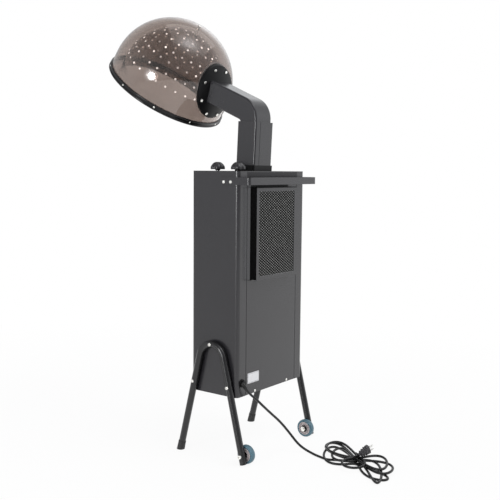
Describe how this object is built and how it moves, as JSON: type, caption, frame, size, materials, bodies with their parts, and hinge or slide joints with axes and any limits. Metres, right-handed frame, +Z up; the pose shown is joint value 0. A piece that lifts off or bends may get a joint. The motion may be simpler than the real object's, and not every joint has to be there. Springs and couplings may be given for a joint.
{
  "type": "hair color processor",
  "caption": "Free-standing salon hair processor: tall dark cabinet on bent tube legs, telescopic duct arm and a smoked double-walled dome.",
  "frame": {"origin": "on the floor, under the middle of the bounding box of the machine without its cord", "axes": "+Z up; -Y towards the client, under the dome; +Y towards the push handle, filter and wheels; +X to the operator's left when standing at the handle"},
  "size_m": [0.4342, 1.0959, 1.4428],
  "materials": {
    "cabinet_paint": "fine textured dark grey powder coat",
    "leg_paint": "satin black",
    "black_plastic": "fine grained black",
    "duct_plastic": "satin dark grey",
    "smoked_dome": "clear smoked, high gloss",
    "trim_rubber": "satin black",
    "foot_rubber": "matt black",
    "wheel_tyre": "blue-grey soft tread",
    "hub_plastic": "warm grey",
    "zinc_screws": "bright zinc",
    "bearing_steel": "oiled steel",
    "galvanised": "plain galvanised sheet",
    "mesh_steel": "grey painted expanded mesh",
    "foam": "open-cell black foam",
    "plate_aluminium": "satin, blank",
    "nylon": "natural nylon",
    "mica": "pressed mica board",
    "heating_wire": "oxidised",
    "motor_steel": "lacquered",
    "phenolic": "moulded brown",
    "cord_rubber": "satin black"
  },
  "bodies": {
    "stand": {"cabinet_wrap": "cabinet_paint", "back_panel": "cabinet_paint", "top_plate": "cabinet_paint", "base_pan": "cabinet_paint", "panel_screws": "zinc_screws", "rating_plate": "plate_aluminium", "push_handle": "cabinet_paint", "handle_screws": "zinc_screws", "filter_frame": "cabinet_paint", "filter_mesh": "mesh_steel", "leg_left": "leg_paint", "leg_right": "leg_paint", "rubber_feet": "foot_rubber", "leg_plugs": "black_plastic", "leg_bolts": "zinc_screws", "axle_bolts": "zinc_screws", "axle_washers": "bearing_steel", "mast_sleeve": "cabinet_paint", "mast_collar": "black_plastic", "mast_upper_guide": "nylon", "mast_stop_pin": "zinc_screws", "timer_body": "galvanised", "heat_switch": "phenolic", "blower_scroll": "galvanised", "blower_motor": "motor_steel", "blower_bracket": "galvanised", "heater_duct": "galvanised", "heater_frame": "mica", "heater_coils": "heating_wire", "terminal_block": "phenolic", "cord_gland": "black_plastic", "strain_relief": "cord_rubber", "power_cord": "cord_rubber", "cord_hank": "cord_rubber", "plug": "cord_rubber"},
    "arm": {"arm_glide": "nylon", "arm_duct": "duct_plastic", "dome_outer_shell": "smoked_dome", "dome_inner_shell": "smoked_dome", "dome_rim_trim": "trim_rubber", "dome_rim_screws": "zinc_screws", "dome_back_plate": "black_plastic", "dome_clamp_ring": "galvanised", "dome_plate_screws": "zinc_screws", "dome_spacer": "zinc_screws"},
    "wheel_left": {"tyre_left": "wheel_tyre", "wheel_hub_left": "hub_plastic", "wheel_bearing_left": "bearing_steel"},
    "wheel_right": {"tyre_right": "wheel_tyre", "wheel_hub_right": "hub_plastic", "wheel_bearing_right": "bearing_steel"},
    "filter": {"filter_pad": "foam"},
    "timer_dial": {"timer_knob": "black_plastic", "timer_spindle": "zinc_screws"},
    "heat_dial": {"heat_knob": "black_plastic", "heat_spindle": "zinc_screws"},
    "rotor": {"blower_impeller": "galvanised", "motor_shaft": "bearing_steel"}
  },
  "joints": [
    {"name": "height_slide", "type": "slide", "parent": "stand", "child": "arm", "axis": [0, 0.048, 0.9988], "range_m": [0, 0.2]},
    {"name": "wheel_left_spin", "type": "hinge", "parent": "stand", "child": "wheel_left", "pos_m": [0.17, 0.3211, 0.03], "axis": [1, 0, 0], "continuous": true},
    {"name": "wheel_right_spin", "type": "hinge", "parent": "stand", "child": "wheel_right", "pos_m": [-0.17, 0.3211, 0.03], "axis": [1, 0, 0], "continuous": true},
    {"name": "filter_pull", "type": "slide", "parent": "stand", "child": "filter", "axis": [1, 0, 0], "range_m": [0, 0.2]},
    {"name": "timer_turn", "type": "hinge", "parent": "stand", "child": "timer_dial", "pos_m": [0.112, 0.15263, 0.93], "axis": [0, 0, -1], "range_deg": [0, 300]},
    {"name": "heat_turn", "type": "hinge", "parent": "stand", "child": "heat_dial", "pos_m": [0.112, 0.23563, 0.93], "axis": [0, 0, -1], "range_deg": [0, 270]},
    {"name": "blower_spin", "type": "hinge", "parent": "stand", "child": "rotor", "pos_m": [0, 0.19763, 0.334], "axis": [1, 0, 0], "continuous": true}
  ]
}
